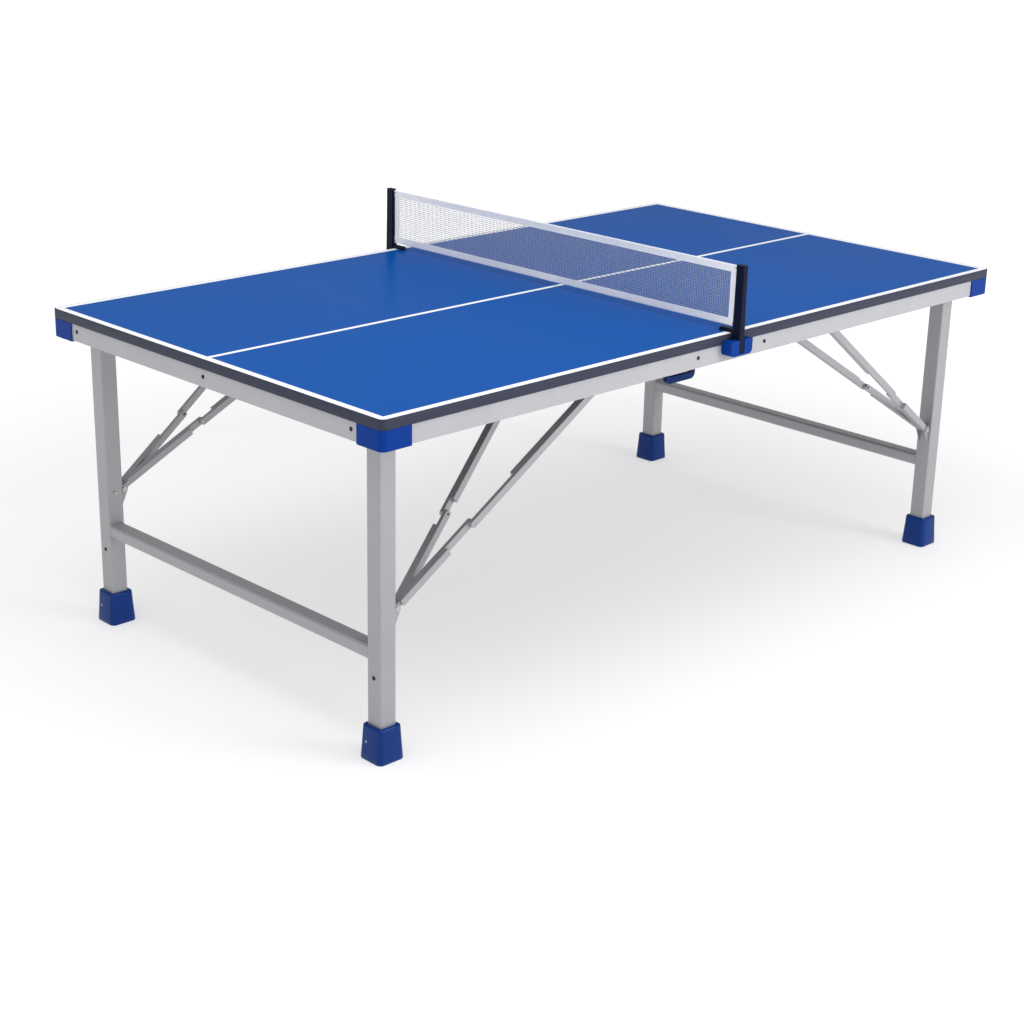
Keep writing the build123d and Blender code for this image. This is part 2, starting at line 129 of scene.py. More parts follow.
def start_finish(name, sockets):
    """A new material with its shader, whose plain numbers go on the shader's own sockets."""
    made = bpy.data.materials.new(name)
    made.use_nodes = True
    tree = made.node_tree
    tree.nodes.clear()
    shader = add(tree, "ShaderNodeBsdfPrincipled", sockets)
    add(tree, "ShaderNodeOutputMaterial", {"Surface": shader})
    place = add(tree, "ShaderNodeTexCoord").outputs["Object"]
    return made, tree, shader, place


def mottled(tree, place, colour, per_metre, amount):
    """The colour, lighter and darker in soft patches of a real size."""
    noise = add(tree, "ShaderNodeTexNoise", {"Vector": place, "Scale": per_metre, "Detail": 4.0})
    light = add(tree, "ShaderNodeMapRange", {
        "Value": noise, "From Min": 0.3, "From Max": 0.7, "To Min": 1 - amount, "To Max": 1 + amount})
    return add(tree, "ShaderNodeVectorMath", {0: tuple(colour)[:3], "Scale": light},
               operation="SCALE"), noise


def flecked(tree, place, colour, per_metre, low, high):
    """The colour broken into crystals, each a little lighter or darker."""
    cell = add(tree, "ShaderNodeTexVoronoi", {"Vector": place, "Scale": per_metre}).outputs["Color"]
    grey = add(tree, "ShaderNodeRGBToBW", {0: cell})
    light = add(tree, "ShaderNodeMapRange", {"Value": grey, "To Min": low, "To Max": high})
    return add(tree, "ShaderNodeVectorMath", {0: colour, "Scale": light}, operation="SCALE"), grey


def roughened(tree, shader, source, low, high):
    """Lets a pattern drive the gloss between two roughness values."""
    drift = add(tree, "ShaderNodeMapRange", {
        "Value": source, "From Min": 0.25, "From Max": 0.75, "To Min": low, "To Max": high})
    feed(tree, shader, {"Roughness": drift})


def embossed(tree, shader, height, depth, strength=1.0):
    """Raises the surface by a height pattern, depth in metres."""
    bump = add(tree, "ShaderNodeBump", {"Height": height, "Distance": depth, "Strength": strength})
    feed(tree, shader, {"Normal": bump})


def whole(value):
    """A colour with its alpha, for a shader socket."""
    return (*tuple(value)[:3], 1.0)


# ---- finishes
def lacquered_board(top):
    """MDF with a rolled acrylic lacquer: a satin blue with a faint orange peel.
    The lines are a second, slightly thicker coat. The underside has only a thin grey primer."""
    made, tree, shader, place = start_finish("lacquered_mdf_blue", {
        "Roughness": 0.33, "Specular IOR Level": 0.02})
    axes = add(tree, "ShaderNodeSeparateXYZ", {0: place}).outputs
    along, across = (add(tree, "ShaderNodeMath", {0: axes[i]}, operation="ABSOLUTE") for i in (0, 1))
    end, side, middle, face = (
        add(tree, "ShaderNodeMath", {0: way, 1: limit}, operation=test) for way, limit, test in (
            (along, HALF_L - top.border_line, "GREATER_THAN"),
            (across, HALF_W - top.border_line, "GREATER_THAN"),
            (across, top.centre_line / 2, "LESS_THAN"),
            (axes[2], TOP_Z - 0.3 * MM, "GREATER_THAN")))
    edge = add(tree, "ShaderNodeMath", {0: end, 1: side}, operation="MAXIMUM")
    line = add(tree, "ShaderNodeMath", {0: edge, 1: middle}, operation="MAXIMUM")
    blue, patches = mottled(tree, place, top.board_colour, 3.0, 0.035)
    primer, _ = mottled(tree, place, srgb("#5A5B5E"), 700.0, 0.12)
    painted = add(tree, "ShaderNodeMix", {0: line, 6: blue, 7: whole(top.line_colour)}, data_type="RGBA")
    colour = add(tree, "ShaderNodeMix", {0: face, 6: primer, 7: painted.outputs[2]}, data_type="RGBA")
    feed(tree, shader, {"Base Color": colour.outputs[2]})
    roughened(tree, shader, patches, top.board_roughness - 0.03, top.board_roughness + 0.03)
    # The roller leaves a peel about 1.5 mm across; it is drawn at 2.5 mm so that it shows.
    peel = add(tree, "ShaderNodeTexNoise", {"Vector": place, "Scale": 400.0, "Detail": 2.0})
    raised = add(tree, "ShaderNodeMath", {0: line, 1: 0.6, 2: peel}, operation="MULTIPLY_ADD")
    embossed(tree, shader, raised, 0.04 * MM, 0.6)
    return made


def extruded_band(top):
    """Extruded PVC edge profile: dark slate, satin, with faint drawn streaks along it."""
    made, tree, shader, place = start_finish("extruded_pvc_slate", {
        "Roughness": 0.45, "Specular IOR Level": 0.2})
    streak = add(tree, "ShaderNodeMapping", {"Vector": place, "Scale": (0.02, 0.02, 1.0)})
    colour, lines = mottled(tree, streak, top.band_colour, 900.0, 0.06)
    feed(tree, shader, {"Base Color": colour})
    roughened(tree, shader, lines, 0.38, 0.52)
    grain = add(tree, "ShaderNodeTexNoise", {"Vector": place, "Scale": 1200.0})
    embossed(tree, shader, grain, 0.03 * MM, 0.5)
    return made


def powder_coat(name, colour, roughness, metallic):
    """Powder coat baked on steel tube: even colour, orange peel about 2 mm across, and a
    little metal flake where the coat is a silver one."""
    made, tree, shader, place = start_finish(name, {
        "Roughness": roughness, "Metallic": metallic, "Coat Weight": 0.15, "Coat Roughness": 0.25})
    base, patches = mottled(tree, place, colour, 9.0, 0.03)
    silvered, _ = flecked(tree, place, base, 1100.0, 0.94, 1.06)
    feed(tree, shader, {"Base Color": silvered})
    roughened(tree, shader, patches, roughness - 0.04, roughness + 0.05)
    peel = add(tree, "ShaderNodeTexNoise", {"Vector": place, "Scale": 480.0, "Detail": 1.0})
    embossed(tree, shader, peel, 0.05 * MM, 0.5)
    return made


def galvanised():
    """Hot-dip galvanised sheet: pale zinc crystals, 6 to 10 mm, each with its own gloss."""
    made, tree, shader, place = start_finish("galvanised_steel", {"Metallic": 1.0, "Roughness": 0.42})
    zinc, grey = flecked(tree, place, srgb("#A9ADB0"), 120.0, 0.86, 1.08)
    feed(tree, shader, {"Base Color": zinc})
    roughened(tree, shader, grey, 0.36, 0.55)
    return made


def zinc_plate():
    """Bright zinc plating on turned steel: fine scratches and a faint warm passivation."""
    made, tree, shader, place = start_finish("zinc_plated_steel", {"Metallic": 1.0, "Roughness": 0.3})
    warm = add(tree, "ShaderNodeTexNoise", {"Vector": place, "Scale": 140.0})
    colour = add(tree, "ShaderNodeMix", {0: warm, 6: whole(srgb("#B4B7BB")), 7: whole(srgb("#BDB7A6"))},
                 data_type="RGBA").outputs[2]
    feed(tree, shader, {"Base Color": colour})
    scratch = add(tree, "ShaderNodeTexNoise", {"Vector": place, "Scale": 2600.0})
    roughened(tree, shader, scratch, 0.22, 0.42)
    embossed(tree, shader, scratch, 0.01 * MM, 0.4)
    return made


def blackened_steel():
    """Blackened steel screws: near black, with a slight oily gloss in the recess."""
    made, tree, shader, place = start_finish("blackened_steel", {"Metallic": 0.7, "Roughness": 0.4})
    base, worn = mottled(tree, place, srgb("#2B2C30"), 900.0, 0.2)
    feed(tree, shader, {"Base Color": base})
    roughened(tree, shader, worn, 0.3, 0.5)
    return made


def moulded(name, colour, roughness, grain_mm, depth_mm, coat=0.0):
    """An injection moulding: eroded-steel grain of a given size, and slight colour drift
    where the melt flowed."""
    made, tree, shader, place = start_finish(name, {
        "Roughness": roughness, "Specular IOR Level": 0.08, "Coat Weight": coat, "Coat Roughness": 0.12,
        "Coat IOR": 1.4})
    base, flow = mottled(tree, place, colour, 30.0, 0.05)
    feed(tree, shader, {"Base Color": base})
    roughened(tree, shader, flow, roughness - 0.04, roughness + 0.06)
    grain = add(tree, "ShaderNodeTexNoise", {"Vector": place, "Scale": 1000.0 / grain_mm, "Detail": 2.0})
    embossed(tree, shader, grain, depth_mm * MM, 0.5)
    return made


def net_twine(net):
    """Twisted polyester twine: a greyish matt white with a soft sheen; its two plies show
    as light and dark dashes about 1 mm long."""
    made, tree, shader, place = start_finish("polyester_twine", {"Roughness": 0.8, "Sheen Weight": 0.3})
    base, _ = mottled(tree, place, net.twine_colour, 1000.0, 0.1)
    feed(tree, shader, {"Base Color": base})
    return made


def woven_tape(net):
    """Plain-woven cotton and polyester tape: matt white, its threads 0.6 mm apart drawn
    at 1.1 mm so that they show."""
    made, tree, shader, place = start_finish("woven_cotton_tape", {"Roughness": 0.85, "Sheen Weight": 0.35})
    axes = add(tree, "ShaderNodeSeparateXYZ", {0: place}).outputs
    per_thread = 2 * math.pi / (1.1 * MM)
    weave = []
    for axis in (1, 2):
        turn = add(tree, "ShaderNodeMath", {0: axes[axis], 1: per_thread}, operation="MULTIPLY")
        weave.append(add(tree, "ShaderNodeMath", {0: turn}, operation="SINE"))
    cloth = add(tree, "ShaderNodeMath", {0: weave[0], 1: weave[1]}, operation="MULTIPLY")
    base, _ = mottled(tree, place, net.tape_colour, 60.0, 0.03)
    # The colour follows the weave's height, the same pattern that the bump raises: painted shade in its
    # dips and a painted highlight on its crests.
    weave_painted_shade = add(tree, "ShaderNodeMapRange", {
        "Value": cloth, "From Min": -1.0, "To Min": 0.93, "To Max": 1.03})
    colour = add(tree, "ShaderNodeVectorMath", {0: base, "Scale": weave_painted_shade}, operation="SCALE")
    feed(tree, shader, {"Base Color": colour})
    embossed(tree, shader, cloth, 0.12 * MM, 0.7)
    return made


# ---- mesh making
def in_scene(name, data):
    """A new object in the scene that shows this mesh, light or camera."""
    made = bpy.data.objects.new(name, data)
    bpy.context.scene.collection.objects.link(made)
    return made


def mesh_of(name, made):
    """The built faces as a plain mesh."""
    mesh = bpy.data.meshes.new(name)
    made.to_mesh(mesh)
    made.free()
    return mesh


def finished_piece(name, made, finish, body, replaces=(), slot=None, smooth=40):
    """Turns built faces into a piece that rides its body, smooth up to an angle."""
    return placed(name, mesh_of(name, made), finish, body, replaces, slot, smooth)


def placed(name, mesh, finish, body, replaces=(), slot=None, smooth=40):
    """Puts a mesh into the scene as a piece, with its finish and body, and hides the nodes that it
    replaces.
    """
    mesh.shade_smooth()
    mesh.set_sharp_from_angle(angle=math.radians(smooth))
    mesh.materials.clear()
    mesh.materials.append(finish)
    piece = in_scene(name, mesh)
    if replaces:
        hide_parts(*replaces)
        slot = slot or SLOT_OF[replaces[0]]
    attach(piece, body)
    return piece


def even_shading(piece):
    """Keeps the broad faces flat to the eye beside their rounded edges."""
    evened = piece.modifiers.new("Even Shading", "WEIGHTED_NORMAL")
    evened.keep_sharp = True
    evened.weight = 100


def ease_edges(made, radius, segments, angle=32):
    """Rounds every edge that turns by more than the angle, in degrees."""
    limit = math.radians(angle)
    sharp = [e for e in made.edges if len(e.link_faces) == 2 and e.calc_face_angle(0) > limit]
    bmesh.ops.bevel(made, geom=sharp, offset=radius, offset_type="OFFSET", segments=segments,
                    profile=0.5, affect="EDGES", clamp_overlap=True)


def eased(node, radius, finish, segments=2):
    """A CAD node's own shape with its sharp edges eased, standing for the node."""
    made = bmesh.new()
    made.from_mesh(NODES[node].data)
    bmesh.ops.remove_doubles(made, verts=made.verts, dist=1e-6)
    bmesh.ops.dissolve_limit(made, angle_limit=math.radians(0.6), verts=made.verts, edges=made.edges)
    ease_edges(made, radius, segments)
    even_shading(finished_piece(node + "_eased", made, finish, NODES[node]["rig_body"], (node,)))


def lofted(rings, joined=False):
    """Skins rings of equal length. The last ring runs back to the first one if joined,
    and otherwise both end rings are filled."""
    made = bmesh.new()
    rows = [[made.verts.new(p) for p in ring] for ring in rings]
    for a, b in zip(rows, rows[1:] + (rows[:1] if joined else [])):
        for i in range(len(a)):
            j = (i + 1) % len(a)
            made.faces.new((a[i], a[j], b[j], b[i]))
    if not joined:
        made.faces.new(rows[0][::-1])
        made.faces.new(rows[-1])
    bmesh.ops.remove_doubles(made, verts=made.verts, dist=1e-7)
    bmesh.ops.recalc_face_normals(made, faces=made.faces)
    return made


def arc(cx, cy, radius, start, end, steps):
    """Points on an arc, angles in degrees."""
    turns = [math.radians(start + (end - start) * i / steps) for i in range(steps + 1)]
    return [(cx + radius * math.cos(t), cy + radius * math.sin(t)) for t in turns]


def rounded_rectangle(half_x, half_y, radius, steps):
    """Outline of a rectangle with round corners, anticlockwise."""
    points = []
    for sx, sy, start in ((1, 1, 0), (-1, 1, 90), (-1, -1, 180), (1, -1, 270)):
        points += arc(sx * (half_x - radius), sy * (half_y - radius), radius, start, start + 90, steps)
    return points


def up_a_leg(cx, cy, steps):
    """Round-cornered squares round a leg, one for each (half width, corner radius, height)."""
    return [[(cx + x, cy + y, z) for x, y in rounded_rectangle(half, half, radius, 6)]
            for half, radius, z in steps]


def top_corner(inset, reach):
    """Path round the front left corner of the top, inset from its edge."""
    r = max(CORNER_R - inset, 0.4 * MM)
    x = -HALF_L + inset
    y = -HALF_W + inset
    bend = arc(x + r, y + r, r, 180, 270, 10)
    return [(x, -HALF_W + reach[1])] + bend + [(-HALF_L + reach[0], y)]


def mirrored_copy(made, sx, sy):
    """The same faces at another corner, facing outwards again."""
    bmesh.ops.scale(made, vec=(-sx, -sy, 1), verts=made.verts)
    bmesh.ops.recalc_face_normals(made, faces=made.faces)
    return made


# ---- repeated fixings and netting, as node trees
def tree_with(name, inputs):
    """An empty geometry tree with named inputs and one geometry output. A number that
    feeds a vector socket in it fills all three parts of the vector."""
    tree = bpy.data.node_groups.new(name, "GeometryNodeTree")
    tree.interface.new_socket("Geometry", in_out="INPUT", socket_type="NodeSocketGeometry")
    for label, kind in inputs.items():
        tree.interface.new_socket(label, in_out="INPUT", socket_type="NodeSocket" + kind)
    tree.interface.new_socket("Geometry", in_out="OUTPUT", socket_type="NodeSocketGeometry")
    return tree, add(tree, "NodeGroupInput").outputs


def end_tree(tree, geometry, finish):
    """Every tree ends the same way: real geometry with its finish set."""
    real = add(tree, "GeometryNodeRealizeInstances", {"Geometry": geometry})
    painted = add(tree, "GeometryNodeSetMaterial", {"Geometry": real, "Material": finish})
    add(tree, "NodeGroupOutput", {"Geometry": painted})
    return tree


def fixing_tree():
    """One fixing on every point, its Z along the point's "facing" and its X along "along"."""
    tree, given = tree_with("Set Fixings", {"Fixing": "Object", "Finish": "Material", "Size": "Float"})
    fixing = add(tree, "GeometryNodeObjectInfo", {"Object": given["Fixing"]}).outputs["Geometry"]
    facing, along = (add(tree, "GeometryNodeInputNamedAttribute", {"Name": name},
                         data_type="FLOAT_VECTOR") for name in ("facing", "along"))
    stood = add(tree, "FunctionNodeAlignRotationToVector", {"Vector": facing}, axis="Z")
    turned = add(tree, "FunctionNodeAlignRotationToVector", {"Rotation": stood, "Vector": along},
                 axis="X", pivot_axis="Z")
    copies = add(tree, "GeometryNodeInstanceOnPoints", {
        "Points": given["Geometry"], "Instance": fixing, "Rotation": turned, "Scale": given["Size"]})
    return end_tree(tree, copies, given["Finish"])


def netting_tree():
    """Knotted netting: a grid of twine with a knot at every crossing, slightly uneven."""
    tree, given = tree_with("Knotted Netting", {
        "Length": "Float", "Height": "Float", "Centre": "Vector", "Pitch": "Float", "Twine": "Float",
        "Unevenness": "Float", "Seed": "Int", "Finish": "Material"})
    counts = []
    for label in ("Length", "Height"):
        cells = add(tree, "ShaderNodeMath", {0: given[label], 1: given["Pitch"]}, operation="DIVIDE")
        whole_cells = add(tree, "ShaderNodeMath", {0: cells}, operation="ROUND")
        counts.append(add(tree, "ShaderNodeMath", {0: whole_cells, 1: 1.0}, operation="ADD"))
    grid = add(tree, "GeometryNodeMeshGrid", {
        "Size X": given["Length"], "Size Y": given["Height"], "Vertices X": counts[0],
        "Vertices Y": counts[1]})
    upright = add(tree, "GeometryNodeTransform", {
        "Geometry": grid, "Translation": given["Centre"], "Rotation": (math.pi / 2, 0, math.pi / 2)})
    less = add(tree, "ShaderNodeMath", {0: given["Unevenness"], 1: -1.0}, operation="MULTIPLY")
    stray = add(tree, "FunctionNodeRandomValue", {0: less, 1: given["Unevenness"], "Seed": given["Seed"]},
                data_type="FLOAT_VECTOR")
    knotted = add(tree, "GeometryNodeSetPosition", {"Geometry": upright, "Offset": stray})
    radius = add(tree, "ShaderNodeMath", {0: given["Twine"], 1: 0.5}, operation="MULTIPLY")
    section = add(tree, "GeometryNodeCurvePrimitiveCircle", {"Resolution": 4, "Radius": radius})
    strands = add(tree, "GeometryNodeMeshToCurve", {"Mesh": knotted})
    twine = add(tree, "GeometryNodeCurveToMesh", {
        "Curve": strands, "Profile Curve": section, "Fill Caps": True})
    knot_size = add(tree, "ShaderNodeMath", {0: given["Twine"], 1: 0.95}, operation="MULTIPLY")
    knot = add(tree, "GeometryNodeMeshUVSphere", {"Segments": 4, "Rings": 2, "Radius": knot_size})
    knots = add(tree, "GeometryNodeInstanceOnPoints", {"Points": knotted, "Instance": knot})
    both = add(tree, "GeometryNodeJoinGeometry")
    feed(tree, both, {0: twine})
    feed(tree, both, {0: knots})
    return end_tree(tree, both, given["Finish"])


def run_tree(name, mesh, tree, values):
    """Runs a tree on a mesh and hands back the plain result."""
    carrier = in_scene(name + "_carrier", mesh)
    step = carrier.modifiers.new(tree.name, "NODES")
    step.node_group = tree
    for socket in tree.interface.items_tree:
        if socket.in_out == "INPUT" and socket.name in values:
            step[socket.identifier] = values[socket.name]
    graph = bpy.context.evaluated_depsgraph_get()
    plain = bpy.data.meshes.new_from_object(carrier.evaluated_get(graph), depsgraph=graph)
    bpy.data.objects.remove(carrier)
    if not plain.polygons:
        raise RuntimeError(name + " came out empty")
    return plain


def set_fixings(name, fixing, spots, finish, body, replaces=(), slot="zinc_fasteners"):
    """One piece made of the same fixing at many spots: (point, facing, along)."""
    pattern = mesh_of(name + "_pattern", fixing)
    pattern.shade_smooth()
    pattern.set_sharp_from_angle(angle=math.radians(40))
    master = in_scene(name + "_pattern", pattern)
    points = bpy.data.meshes.new(name + "_points")
    points.from_pydata([s[0] for s in spots], [], [])
    for label, column in (("facing", 1), ("along", 2)):
        layer = points.attributes.new(label, "FLOAT_VECTOR", "POINT")
        layer.data.foreach_set("vector", [c for s in spots for c in s[column]])
    tree = bpy.data.node_groups.get("Set Fixings") or fixing_tree()
    mesh = run_tree(name, points, tree, {"Fixing": master, "Finish": finish, "Size": 1.0})
    bpy.data.objects.remove(master)
    placed(name, mesh, finish, body, replaces, slot)


def turned_profile(profile, sides=20, dent=None):
    """A turned head: (radius, height) pairs from its foot to its crown. dent = (half
    width, half length, depth) sinks a cross recess into the crown."""
    turns = [2 * math.pi * i / sides for i in range(sides)]
    rings = [[(r * math.cos(t), r * math.sin(t), h) for t in turns] for r, h in profile]
    made = lofted(rings)
    if dent:
        crown = max(v.co.z for v in made.verts)
        top = [f for f in made.faces if all(abs(v.co.z - crown) < 1e-7 for v in f.verts)]
        bmesh.ops.delete(made, geom=top, context="FACES_ONLY")
        rim = [v for v in made.verts if abs(v.co.z - crown) < 1e-7]
        rim.sort(key=lambda v: math.atan2(v.co.y, v.co.x))
        w, l, depth = dent
        cross = [(l, -w), (l, w), (w, w), (w, l), (-w, l), (-w, w), (-l, w), (-l, -w), (-w, -w),
                 (-w, -l), (w, -l), (w, -w)]
        lip = [made.verts.new((x, y, crown)) for x, y in cross]
        floor = [made.verts.new((x * 0.7, y * 0.7, crown - depth)) for x, y in cross]
        for i in range(len(cross)):
            j = (i + 1) % len(cross)
            made.faces.new((lip[i], lip[j], floor[j], floor[i]))
        made.faces.new(floor)
        edges = [made.edges.get((a, b)) for a, b in zip(rim, rim[1:] + rim[:1])]
        edges += [made.edges.get((a, b)) for a, b in zip(lip, lip[1:] + lip[:1])]
        bmesh.ops.triangle_fill(made, use_beauty=True, use_dissolve=False, edges=[e for e in edges if e])
        bmesh.ops.recalc_face_normals(made, faces=made.faces)
    return made


def pan_head(radius, height):
    """A pan-head screw with a cross recess."""
    profile = [(radius, 0), (radius, height * 0.35), (radius * 0.9, height * 0.72), (radius * 0.68, height)]
    return turned_profile(profile, dent=(radius * 0.13, radius * 0.5, height * 0.6))


def dome_nut(radius, height):
    """A washer with a domed nut on it."""
    steps = ((1, 0), (1, 0.2), (0.72, 0.22), (0.7, 0.7), (0.5, 0.93), (0.2, 1))
    return turned_profile([(radius * r, height * h) for r, h in steps])


# ---- settings
def length(name, text, default):
    return bpy.props.FloatProperty(name=name, description=text, default=default, min=0.0, precision=5,
                                   subtype="DISTANCE", unit="LENGTH")


def colour(name, text, code):
    return bpy.props.FloatVectorProperty(name=name, description=text, default=srgb(code), size=3, min=0.0,
                                         max=1.0, subtype="COLOR")


def angle(name, text, default):
    return bpy.props.FloatProperty(name=name, description=text, default=default, subtype="ANGLE",
                                   unit="ROTATION")


def number(name, text, default, low=0.0, high=1.0):
    return bpy.props.FloatProperty(name=name, description=text, default=default, min=low, max=high)


class TopSettings(bpy.types.PropertyGroup):
    board_colour: colour("Board", "Blue lacquer of the playing surface", "#0050A2")
    line_colour: colour("Lines", "White of the border and centre lines", "#F4F6FA")
    band_colour: colour("Edge Band", "Dark profile round the board", "#323648")
    board_roughness: number("Board Roughness", "Gloss of the lacquer, 0 is a mirror", 0.33)
    border_line: length("Border Line", "Width of the line round the top, from its edge", 20 * MM)
    centre_line: length("Centre Line", "Width of the line along the middle", 12 * MM)
    band_round: length("Band Rounding", "Radius of the band's outer edges", 1.4 * MM)


class FrameSettings(bpy.types.PropertyGroup):
    rail_colour: colour("Rails", "Light grey coat of the apron", "#AEAEB3")
    leg_colour: colour("Legs", "Silver coat of the legs and stretchers", "#A2A2A6")
    brace_colour: colour("Braces", "Silver coat of the folding braces", "#A2A2A6")
    rail_round: length("Rail Rounding", "Radius of the apron's long edges", 2.2 * MM)
    leg_wall: length("Leg Wall", "Wall of the leg tube", 2 * MM)
    leg_round: length("Leg Rounding", "Outer corner radius of the leg tube", 4 * MM)
    weld_bead: length("Weld Bead", "Width of the bead round each stretcher end", 3.4 * MM)


class MouldingSettings(bpy.types.PropertyGroup):
    cap_colour: colour("Corner Caps", "Blue of the caps and post sockets", "#00358A")
    boot_colour: colour("Boots", "Blue of the feet", "#003078")
    post_colour: colour("Posts", "Dark navy of the net posts", "#10162A")
    handle_colour: colour("Handle", "Dark blue of the carrying handle", "#08245A")
    cap_round: length("Cap Rounding", "Radius of the caps' free edges", 1.6 * MM)
    boot_rim: length("Boot Rim", "Radius of the rounded upper rim", 4 * MM)


class NetSettings(bpy.types.PropertyGroup):
    twine_colour: colour("Twine", "Grey white of the netting", "#9A9DA4")
    tape_colour: colour("Tape", "White of the sewn tapes", "#FAFAFD")
    pitch: length("Mesh", "Distance between the knots", 5 * MM)
    twine: length("Twine Thickness", "Diameter of the twine", 1.1 * MM)
    tape_wall: length("Tape Thickness", "Thickness of the woven tape", 0.55 * MM)
    stitch: length("Stitch", "Distance from one stitch to the next", 4.5 * MM)


class FixingSettings(bpy.types.PropertyGroup):
    screw_radius: length("Screw Head", "Radius of the apron screws' heads", 4.5 * MM)
    screw_height: length("Screw Height", "How far a screw head stands out", 2 * MM)
    leg_screw_z: length("Leg Screw Height", "Height of the screw in each leg", 185 * MM)


class StudioSettings(bpy.types.PropertyGroup):
    eye: bpy.props.FloatVectorProperty(name="Camera", description="Where the camera stands",
                                       default=(-3.2885, -3.2131, 1.8277), subtype="TRANSLATION",
                                       unit="LENGTH")
    yaw: angle("Yaw", "Heading, clockwise from +Y", 0.7793)
    pitch: angle("Pitch", "Tilt below the horizon", 0.3446)
    roll: angle("Roll", "Turn about the view line", 0.0217)
    lens: number("Lens", "Focal length in millimetres on a 36 mm sensor", 67.94, 10.0, 300.0)
    floor_colour: colour("Floor", "Plain pale floor", "#C4C4C5")
    # Painted light: the floor glows though it is no lamp, less near the table than far from it, so that the
    # table's shadow still shows.
    near_painted_glow: number("Floor Glow", "Light the paper floor passes near the table", 0.5, 0.0, 2.0)
    far_painted_glow: number("Far Glow", "Light the paper floor passes far from the table", 0.9, 0.0, 2.0)
    sky: number("Surround Light", "Strength of the white surround", 0.5, 0.0, 10.0)
    softbox: number("Softbox Power", "Power of the overhead softbox, in watts", 65.0, 0.0, 5000.0)
    side_light: number("Side Light Power", "Power of the long side's light, in watts", 100.0, 0.0, 5000.0)


# ---- operators
class TABLE_OT_boards(bpy.types.Operator):
    """Finish the two lacquered boards and make the band round their edge"""
    bl_idname = "table.boards"
    bl_label = "Boards and Edge Band"

    def execute(self, context):
        top = context.scene.table_top
        lacquer = lacquered_board(top)
        pvc = extruded_band(top)
        r = top.band_round
        wall = 3 * MM
        seam = -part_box("edge_band_left")[1][0]
        profile = [(wall, TOP_LOW.z)] + arc(r, TOP_LOW.z + r, r, 270, 180, 4)
        profile += arc(r, TOP_Z - r, r, 180, 90, 4) + [(wall, TOP_Z)]
        for end, sx in ENDS.items():
            board = NODES["board_" + end]
            board.data.materials.clear()
            board.data.materials.append(lacquer)
            lines = []
            for inset, z in profile:
                path = top_corner(inset, (HALF_L - seam, HALF_W))
                back = [(x, -y, z) for x, y in path[::-1]]
                lines.append(back + [(x, y, z) for x, y in path[1:]])
            made = mirrored_copy(lofted([list(section) for section in zip(*lines)]), sx, -1)
            finished_piece("edge_profile_" + end, made, pvc, "table_top", ("edge_band_" + end,))
        return {"FINISHED"}


class TABLE_OT_apron(bpy.types.Operator):
    """Make the apron rails, the beams between them and the leg hinge brackets"""
    bl_idname = "table.apron"
    bl_label = "Apron and Beams"

    def execute(self, context):
        settings = context.scene.table_frame
        coat = powder_coat("powder_coat_light_grey", settings.rail_colour, 0.5, 0.0)
        for corner in CORNERS:
            eased("side_rail_" + corner, settings.rail_round, coat, segments=3)
        zinc = galvanised()
        for end in ENDS:
            eased("end_rail_" + end, settings.rail_round, coat, segments=3)
            eased("centre_beam_" + end, 1.5 * MM, zinc)
            eased("brace_beam_" + end, 1.5 * MM, zinc)
        eased("leg_hinge_brackets", 0.6 * MM, zinc)
        eased("arm_hinge_brackets", 0.5 * MM, zinc)
        return {"FINISHED"}


class TABLE_OT_corner_caps(bpy.types.Operator):
    """Make the four moulded corner caps under the band"""
    bl_idname = "table.corner_caps"
    bl_label = "Corner Caps"

    def execute(self, context):
        settings = context.scene.table_moulding
        plastic = moulded("moulded_abs_blue", settings.cap_colour, 0.36, 0.7, 0.03)
        low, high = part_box("corner_cap_front_left")
        reach = (high[0] - low[0], high[1] - low[1])
        r = settings.cap_round
        wall, lip, floor = 3.2 * MM, 25 * MM, 3 * MM
        profile = [(0.0, high[2])] + arc(r, low[2] + r, r, 180, 270, 4)
        profile += [(lip, low[2]), (lip, low[2] + floor), (wall, low[2] + floor), (wall, high[2])]
        for corner, (sx, sy) in CORNERS.items():
            lines = [[(x, y, z) for x, y in top_corner(inset, reach)] for inset, z in profile]
            made = lofted([list(section) for section in zip(*lines)])
            ease_edges(made, 0.9 * MM, 2, 50)
            made = mirrored_copy(made, sx, sy)
            even_shading(finished_piece("corner_cover_" + corner, made, plastic, "table_top",
                                        ("corner_cap_" + corner,)))
        return {"FINISHED"}


